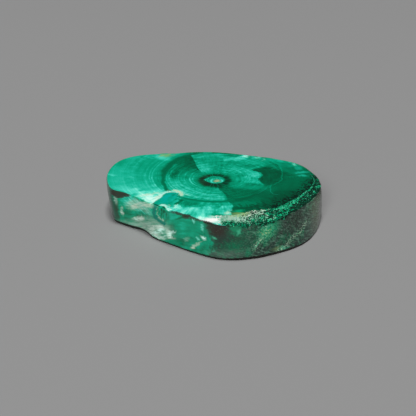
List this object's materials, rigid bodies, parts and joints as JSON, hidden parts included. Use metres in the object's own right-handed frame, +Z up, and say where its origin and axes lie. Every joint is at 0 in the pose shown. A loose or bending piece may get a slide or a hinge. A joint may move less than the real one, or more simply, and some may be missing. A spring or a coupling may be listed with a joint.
{
  "type": "malachite stalactite slice",
  "caption": "Flat slab of banded green malachite cut across a stalactite: polished on top in rings round an eye, with a smaller side lobe, a rough wall and a crusted front edge.",
  "frame": {"origin": "middle of the slab's box, on the plane of the sawn underside that it rests on", "axes": "+Z up out of the polished face, the slab's shortest way; +X along its longest way, from the small lobe towards the crusted tip; +Y towards the back edge that the picture shows farthest away"},
  "size_m": [0.0594, 0.0498, 0.0098],
  "materials": {
    "malachite": "polished"
  },
  "bodies": {
    "root": {"malachite_slice": "malachite"}
  },
  "joints": []
}
